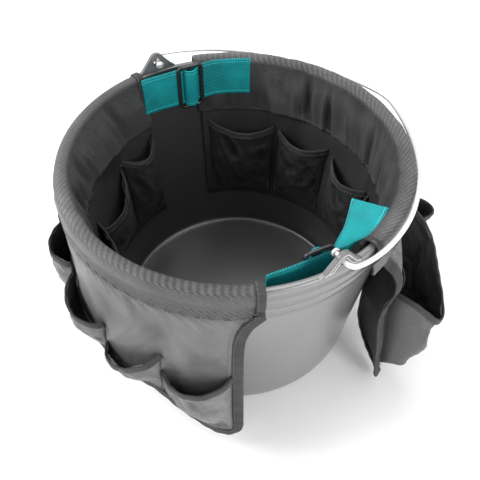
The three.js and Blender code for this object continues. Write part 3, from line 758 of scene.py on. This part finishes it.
def make_half(name, half):
    low, high = half["low"], half["high"]
    seed = half["seed"]
    radius = half["radius"]
    section = band_profile()

    def band(u, v):
        r, z = section(v)
        return polar(lerp(half["rim"][0], half["rim"][1], u), r, z)

    def band_wrinkle(s, t, u, v):
        angle = lerp(half["rim"][0], half["rim"][1], u)
        # The pleats are calm where a strap is sewn on.
        sewn = smooth(-160, -154, angle)
        if name == "drill":
            sewn = np.minimum(smooth(44, 52, angle), smooth(140, 132, angle))
        deep = smooth(0.42, 0.75, v) * lerp(0.15, 1, sewn)
        outside = smooth(0.40, 0.10, v)
        lean = s + 0.35 * t
        wide, narrow = folds(lean, t, seed, 16, 6.0, 0.6), folds(lean, t, seed + 2, 8, 5.0, 0.5)
        pleats = (wide * 6.0 + narrow * 1.3) * deep
        puckers = folds(s - 0.5 * t, t, seed + 5, 15, 2.2, 0.5) * 2.0 * outside
        roll = folds(s, t, seed + 9, 30, 1.2) + 1.0
        # Where the bail comes to rest, to both sides of the middle, the cloth lies flat.
        loose = smooth(0.38, 0.48, u) * smooth(0.62, 0.54, u) if name == "pliers" else np.ones_like(u)
        lift = (puckers + roll) * loose - 1.0 * (1 - loose)
        return pleats + lerp(lift, puckers + roll, smooth(0.5, 0.75, v)) + 2.4 * deep

    rim = add_sheet(
        name + "_rim_band_cloth", band, 260, 60, "weave", "lining", band_wrinkle, held="folded",
        rests=["bucket_shell_finish"], nodes=[name + "_rim_band"],
    )

    def panel(u, v):
        flat = lerp(low + 1, high - 1, u)
        z = panel_height(hem_height(half, flat) + 3, v)
        angle = lerp(edge_angle(half, "low", z) + 1, edge_angle(half, "high", z) - 1, u)
        return polar(angle, radius(angle, z) - SKIN, z)

    def panel_wrinkle(s, t, u, v):
        edge = smooth(0, 0.05, u) * smooth(1, 0.95, u) * smooth(0, 0.08, v) * smooth(1.0, 0.9, v)
        broad = folds(s + 0.5 * t, t - 0.3 * s, seed + 21, 44, 1.8, 0.5) * 2.4
        fine = folds(s - 0.4 * t, t, seed + 31, 15, 2.2, 0.3) * 0.7
        pucker = np.sin(s / 2.6 + 2.0 * np.sin(s / 17)) * 0.7 * smooth(0.74, 0.97, v)
        return (broad + fine) * edge + pucker

    skirt = add_sheet(
        name + "_outer_panel_cloth", panel, 230, 90, "cloth", "lining", panel_wrinkle, held="hung",
        rests=[name + "_rim_band_cloth"], nodes=[name + "_outer_panel"],
    )

    # One tape runs down an edge, round the corner, along the hem and up the other edge.
    top = BAND_OUTER_Z + 1.0
    hem = np.concatenate([
        low + np.geomspace(0.02, 6, 40) - 0.02,
        np.linspace(low + 6.2, high - 6.2, 170),
        high + 0.02 - np.geomspace(6, 0.02, 40),
    ])
    hem_z = hem_height(half, hem)
    left_z = np.linspace(top, hem_z[0] + 1, 90)
    right_z = np.linspace(hem_z[-1] + 1, top, 90)
    angle = np.concatenate([edge_angle(half, "low", left_z), hem, edge_angle(half, "high", right_z)])
    z = np.concatenate([left_z, hem_z, right_z])
    line = resample(polar(angle, radius(angle, z) - SKIN, z), 2.2)
    out = outward(line)
    along = unit(np.gradient(line, axis=0))
    side = unit(np.cross(out, along))
    middle = polar((low + high) / 2, 195, 150)
    if ((middle - line[len(line) // 2]) * side[len(line) // 2]).sum() < 0:
        side = -side
    for _ in range(6):
        side[1:-1] = unit((side[:-2] + side[1:-1] + side[2:]) / 3)
    binding = tape(
        name + "_edge_tape", line, line + side * 8, outward, BINDING_WIDTH + 2, TAPE,
        [name + "_front_edge_binding", name + "_rear_edge_binding", name + "_hem_binding"],
    )
    stitch(line + side * (BINDING_WIDTH + 4.5) + out * 0.9, outward)
    goes_with(skirt, binding)

    # The seam between rim band and panel has two rows of stitches. A tape closes the band's inner edge.
    seam_angle = np.linspace(half["rim"][0] + 0.6, half["rim"][1] - 0.6, 260)
    for z0, proud in ((BAND_OUTER_Z + 3.0, 1.4), (BAND_OUTER_Z + 6.4, 1.5)):
        stitch(polar(seam_angle, RIM_OUTER + proud - 0.3, z0), outward)
    inner_path = polar(seam_angle, inside_radius(BAND_INNER_Z) - 3.4, BAND_INNER_Z + 0.5)
    upwards = np.broadcast_to([0.0, 0, 1], inner_path.shape)
    piping = sweep(inner_path, upwards, inward(inner_path), 5.0, 2.4, 10, 0.7)
    goes_with(rim, add_piece(name + "_inner_seam", *piping, ["tape"]))

    # Rolled tape closes each end of the rim band.
    for end, sign in ((0, 1), (1, -1)):
        share = np.linspace(0, 1, 90)
        r, z = section(share)
        path = polar(half["rim"][end], r, z)
        inside = polar(half["rim"][end] + sign * 2, r, z)
        middle = polar(half["rim"][end], (RIM_OUTER + RIM_INNER) / 2, 245)
        label = "_rim_front_tape" if (name == "pliers") == (end == 1) else "_rim_rear_tape"
        end_tape = tape(
            name + label, path, inside, lambda q, m=middle: q - m, END_TAPE_WIDTH, END_TAPE, [],
        )
        goes_with(rim, end_tape)

    def lining(u, v):
        z = lerp(BAND_INNER_Z + 1, INNER_PANEL_Z, v)
        return polar(lerp(half["rim"][0] + 1, half["rim"][1] - 1, u), lining_radius(z), z)

    def lining_wrinkle(s, t, u, v):
        return (folds(s, t, seed + 41, 30, 2.4, 0.4) * 1.4 + 0.6) * smooth(0, 0.06, v) * smooth(1, 0.95, v)

    add_sheet(
        name + "_inner_panel_cloth", lining, 190, 50, "lining", "lining", lining_wrinkle, held="hung",
        rests=[name + "_rim_band_cloth"], nodes=[name + "_inner_panel"],
    )


# ---- pockets
# Both sides' angles, the mouth's height at each and its sag between them, how far the pocket stands out, how
# high its sloping floor is, and how the sag leans and narrows.
Pocket = namedtuple(
    "Pocket",
    "name low high mouth_low mouth_high sag depth slope skew dip",
    defaults=(POCKET_DEPTH, 0, 1, MOUTH_DIP),
)


def make_pocket(row, half, sign, foot, look):
    """One pocket on a half's panel: outside with sign 1, inside the bucket with sign -1."""
    name, low, high, mouth_low, mouth_high, sag, depth, slope, skew, dip = row
    seed = 100 + sum(ord(c) for c in name) % 97
    wall = (lambda a, z: half["radius"](a, z) - SKIN) if sign > 0 else (lambda a, z: lining_radius(z))
    boxy = slope > 0

    def mouth(u):
        fall = np.maximum(0, np.sin(math.pi * np.clip(u, 0, 1) ** skew)) ** dip
        return lerp(mouth_low, mouth_high, u) - sag * fall

    def point(u, z, reach=1.0):
        angle = lerp(low, high, u)
        height = (z - foot(angle)) / (mouth(u) - foot(angle))
        rounding = lerp(BOX_TAPER, 1, smooth(0, 0.6, height)) if boxy else smooth(-0.12, 0.55, height)
        belly = np.maximum(0, np.sin(math.pi * np.clip(u, 0, 1) ** skew)) ** 0.7 * rounding * reach
        flare = 1 + 0.06 * smooth(0.75, 1.0, height)
        stand = 1.3 + np.maximum(0, belly - 0.03) * depth * flare
        return polar(angle, wall(angle, z) + sign * stand, z)

    def body(u, v):
        up = v if sign > 0 else 1 - v
        angle = lerp(low, high, u)
        top = mouth(u) - 1.5
        shoulder = foot(angle) + slope
        if not boxy:
            return point(u, lerp(shoulder, top, up))
        reach = np.clip(up / FLOOR_SHARE, 0, 1)
        above = np.clip((up - FLOOR_SHARE) / (1 - FLOOR_SHARE), 0, 1)
        z = np.where(up < FLOOR_SHARE, foot(angle) + slope * reach, lerp(shoulder, top, above))
        return point(u, z, smooth(0, 1, reach) * 0.35 + reach * 0.65)

    big = depth > DEEP_POCKET

    def wrinkle(s, t, u, v):
        up = v if sign > 0 else 1 - v
        edge = smooth(0, 0.10, u) * smooth(1, 0.90, u) * smooth(0, 0.10, up)
        size = 26 if big else 19
        crease = folds(s + 0.6 * t, t - 0.5 * s, seed, size, 1.7, 0.6) * (3.4 if big else 2.6)
        dents = folds(s, t, seed + 3, size * 0.5, 1.0, 0.2) * 0.8
        gathers = np.sin(s / 2.6 + 3 * np.sin(s / 13.0 + seed)) * 0.55
        gathers = gathers * smooth(0.28, 0.04, up) * smooth(0, 0.03, up)
        slack = (crease + dents) * edge + gathers * smooth(0, 0.08, u) * smooth(1, 0.92, u)
        if name == "pouch":
            diagonal = np.exp(-(((t - 14 - 0.7 * s) / 3.0) ** 2))
            slack = slack + 2.4 * diagonal * smooth(80, 50, s) * edge
        return slack

    columns, rows = (110, 90) if big else (64, 56)
    panel_name = "pliers" if half is HALVES["pliers"] else "drill"
    panel_name += "_outer_panel_cloth" if sign > 0 else "_inner_panel_cloth"
    cloth = add_sheet(
        name + "_cloth", body, columns, rows, look, "lining", wrinkle, held="hung",
        rests=[panel_name], nodes=[name],
    )
    u = np.linspace(0.0, 1.0, 90)
    path = point(u, mouth(u))
    inside = point(u, mouth(u) - 8)
    normal_at = outward if sign > 0 else inward
    lip = tape(
        name + "_mouth_tape", path, inside, normal_at, MOUTH_TAPE_WIDTH, MOUTH_TAPE, [name + "_binding"],
    )
    goes_with(cloth, lip)
    # Seams down both sides, where the pocket is sewn to its panel.
    for at in (0.012, 0.988):
        angle = lerp(low, high, at)
        z = np.linspace(foot(angle) + 3, mouth(at) - 12, 60)
        stitch(polar(angle, wall(angle, z) + sign * 1.5, z), normal_at)


def make_pockets():
    def outer_foot(half):
        return lambda a: hem_height(half, a) + BINDING_WIDTH + PANEL_GAP

    pliers, drill = HALVES["pliers"], HALVES["drill"]
    pliers_outer = [
        (-53.4, -32.3, 128, 138, 5),
        (-75.6, -54, 118, 155, 7),
        (-96.4, -76.2, 164, 150, 6),
        (-117, -97, 178, 178, 5),
        (-138, -117.6, 150, 166, 5),
        (-160, -138.6, 128, 136, 5),
    ]
    for i, place in enumerate(pliers_outer):
        make_pocket(Pocket(f"pliers_outer_pocket_{i + 1}", *place), pliers, 1, outer_foot(pliers), "cloth")
    for row in (
        Pocket("pouch", 25.4, 47.5, 166, 222, 42, depth=66, slope=18, skew=0.5, dip=1.6),
        Pocket("slim_sleeve", 50, 68, 186, 176, 6, depth=50),
        Pocket("drill_holster", 73, 109, 214, 214, 22, depth=62, slope=20),
        Pocket("flat_pocket", 115, 150, 176, 176, 10, depth=24),
    ):
        # The drill half's pockets get the darker copy of the cloth as painted shade.
        make_pocket(row, drill, 1, outer_foot(drill), "pouch")
    inner = [
        Pocket("pliers_inner_pocket_1", -74, -36, 165, 165, 8),
        Pocket("pliers_inner_pocket_2", -118, -80, 165, 165, 8),
        Pocket("pliers_inner_pocket_3", -149, -122, 168, 140, 8),
        Pocket("pliers_inner_pocket_4", -170.5, -151, 188, 180, 10),
        Pocket("drill_inner_pocket_1", 40, 68, 170, 170, 8),
        Pocket("drill_inner_pocket_2", 71, 97, 170, 166, 6),
        Pocket("drill_inner_pocket_3", 101, 127, 174, 173, 6),
        Pocket("drill_inner_pocket_4", 130, 161, 176, 184, 8),
    ]
    for row in inner:
        half = pliers if row.low < 0 else drill
        make_pocket(row, half, -1, lambda a: INNER_PANEL_Z + INNER_POCKET_FOOT, "lining")


# ---- straps and buckles
def add_webbing(node, face, columns, rows, wrinkle=None, body="bucket"):
    looks = "webbing", "webbing"
    add_sheet(node + "_finish", face, columns, rows, *looks, wrinkle, WEBBING, body=body, nodes=[node])


def upright(low, high, radius_at, low_z, high_z):
    """A strap standing on edge from angle low to high. Its lower edge goes from low_z to high_z."""
    def face(u, v):
        angle = lerp(low, high, u)
        return polar(angle, radius_at(angle), lerp(low_z, high_z, u) + WEBBING_WIDTH * (1 - v))

    return face


def rounded_frame():
    """The buckle frame's centre line in its own plane, and its middle bar's."""
    half, reach = BUCKLE_LENGTH / 2 - BUCKLE_BAR / 2, BUCKLE_WIDTH / 2 - BUCKLE_BAR / 2
    corner = 5.0
    line = []
    for cx, cy, start in ((1, 1, 0), (-1, 1, 90), (-1, -1, 180), (1, -1, 270)):
        for a in np.radians(np.linspace(start, start + 90, 9)):
            x = cx * (reach - corner) + corner * math.cos(a)
            y = cy * (half - corner) + corner * math.sin(a)
            line.append((x, y, 0))
    return np.array(line), np.array([(0, y, 0) for y in np.linspace(-half, half, 24)], float)


def make_buckle(name, angle, distance, along, z):
    out = np.array([math.cos(math.radians(angle)), math.sin(math.radians(angle)), 0])
    tangent = np.array([-out[1], out[0], 0])
    x_way, y_way, z_way = -tangent, np.array([0.0, 0, 1]), -out
    origin = out * (distance - 0.4) + tangent * along + np.array([0, 0, z])

    def place(p):
        return origin + p[..., 0:1] * x_way + p[..., 1:2] * y_way + p[..., 2:3] * z_way

    loop, bar = rounded_frame()
    parts = []
    for line, closed, width, thick in ((loop, True, BUCKLE_BAR, 4.0), (bar, False, BUCKLE_BAR, 3.4)):
        line = line + np.array([0, 0, BUCKLE_THICKNESS / 2])
        if closed:
            way = unit(np.roll(line, -1, 0) - np.roll(line, 1, 0))
        else:
            way = unit(np.gradient(line, axis=0))
        normal = np.broadcast_to([0.0, 0, 1], line.shape)
        across = unit(np.cross(way, normal))
        points, faces, uv = sweep(line, across, normal, width, thick, 16, 0.8, closed)
        parts.append((place(points), faces, uv))
    points, faces, uv = merged(parts)
    add_piece(name + "_finish", points, faces, uv, ["buckle"], body=name, stands_for=[name])

    def lap(u, v):
        turn = lerp(math.pi, 0, u)
        bulge = 1 + 0.05 * np.sin(math.pi * v)
        x = 8.6 * np.cos(turn)
        depth = (BUCKLE_THICKNESS + WEBBING + 2.6) * np.sin(turn) * bulge + 0.8
        y = lerp(-WEBBING_WIDTH / 2, WEBBING_WIDTH / 2, v)
        return place(np.stack(np.broadcast_arrays(x, y, depth), -1))

    add_webbing(name + "_lap", lap, 40, 60, body=name)


def make_straps():
    rear_chord = REAR_STRAP_RADIUS * math.cos(math.radians(STRAP_REACH))

    def rear_at(angle):
        off = np.abs(angle - REAR_STRAP_ANGLE)
        straight = rear_chord / np.cos(np.radians(np.minimum(off, STRAP_REACH)))
        return np.where(off < STRAP_REACH, straight, REAR_STRAP_RADIUS)

    def wave(seed, size):
        return lambda s, t, u, v: folds(s, t, seed, 28, 3.0) * size * smooth(0, 0.08, u) * smooth(1, 0.92, u)

    rear = upright(142, 190, rear_at, 221, 216)
    add_webbing("rear_strap", rear, 120, 24, wave(5, 0.5))
    make_buckle("rear_buckle", REAR_STRAP_ANGLE, rear_chord, -12, 242.6)

    front_chord = FRONT_STRAP_RADIUS * math.cos(math.radians(STRAP_REACH))

    def front_at(angle):
        return front_chord / np.cos(np.radians(angle - FRONT_STRAP_ANGLE))

    tail = upright(-21.5, 9, front_at, 211, 211)
    add_webbing("front_strap_tail", tail, 80, 24, wave(8, 0.5))
    make_buckle("front_buckle", FRONT_STRAP_ANGLE, front_chord, 11, 236)

    start = front_at(9)
    outer_edge = [(9.3, start, 261), (16, 167, 255), (25, 169, 251), (35, 170, 248)]
    inner_edge = [(9.3, start, 211), (12, 143, 222), (26, 134, 226), (42, 130, 231)]
    outer, inner = (catmull([polar(*place) for place in edge], 30) for edge in (outer_edge, inner_edge))

    def along(line, u):
        at = np.asarray(u) * (len(line) - 1)
        return np.stack([np.interp(at, np.arange(len(line)), line[:, c]) for c in range(3)], -1)

    def twisted(u, v):
        return lerp(along(outer, u), along(inner, u), v[..., None])

    add_webbing("front_strap", twisted, 110, 40, wave(13, 0.9))
    def facing(points):
        return np.broadcast_to([-0.3, -0.3, 1.0], points.shape)

    u = np.linspace(0.02, 0.98, 60)[:, None]
    for share in (0.05, 0.95):
        edge = twisted(u, np.full_like(u, share))[:, 0]
        stitch(edge + np.array([0, 0, 0.3]), facing, length=2.4, pitch=3.6, thickness=0.7)


# ---- building
make_bucket()
make_ears()
make_bail()
for half_name, half_facts in HALVES.items():
    make_half(half_name, half_facts)
make_pockets()
make_straps()
add_stitches("sewn_stitches")


# ---- stage, light and camera
def make_floor():
    n = Nodes("floor_pale")
    place = n.position()
    grain = n.noise(place, 40.0, 3.0)
    colour = n.mix(grain, (0.94, 0.94, 0.94), (0.97, 0.97, 0.97))
    n.finish(colour, 0.8, n.bump(grain, 0.00005, 0.2), specular=0.1)
    half = 4.0
    mesh = bpy.data.meshes.new("floor")
    corners = [(-half, -half, 0), (half, -half, 0), (half, half, 0), (-half, half, 0)]
    mesh.from_pydata(corners, [], [(0, 1, 2, 3)])
    mesh.materials.append(n.material)
    floor = add_object("floor", mesh)
    floor.location.z = -0.0006


def make_light(name, place, size, power, aim=(0, 0, 0.15)):
    light = bpy.data.lights.new(name, "AREA")
    light.shape = "RECTANGLE"
    light.size, light.size_y = size
    light.energy = power
    lamp = add_object(name, light)
    lamp.location = place
    lamp.rotation_euler = (Vector(aim) - Vector(place)).to_track_quat("-Z", "Y").to_euler()


# Each light's place and size in metres, and its power in watts.
LIGHTS = {
    "key": ((-0.85, -1.2, 1.35), (0.9, 0.9), 31),
    "top": ((-0.3, 0.4, 1.9), (1.0, 1.0), 14),
    "side": ((1.5, 0.25, 0.55), (0.5, 0.9), 13),
}
make_floor()
for light_name, light_facts in LIGHTS.items():
    make_light(light_name, *light_facts)

world = bpy.data.worlds.new("studio")
world.use_nodes = True
world.node_tree.nodes["Background"].inputs["Color"].default_value = (1, 1, 1, 1)
world.node_tree.nodes["Background"].inputs["Strength"].default_value = 0.78
bpy.context.scene.world = world
bpy.context.scene.view_settings.view_transform = "Standard"

AZIMUTH, ELEVATION, DISTANCE = math.radians(58.4), math.radians(48.9), 0.7319
TARGET = Vector((0.0093, 0.0014, 0.1297))
camera = add_object("camera", bpy.data.cameras.new("camera"))
camera.data.lens = 45
camera.data.sensor_width = 36
camera.data.clip_start = 0.02
back = Vector((
    math.sin(AZIMUTH) * math.cos(ELEVATION),
    -math.cos(AZIMUTH) * math.cos(ELEVATION),
    math.sin(ELEVATION),
))
camera.location = TARGET + back * DISTANCE
camera.rotation_euler = (-back).to_track_quat("-Z", "Y").to_euler()
bpy.context.scene.camera = camera
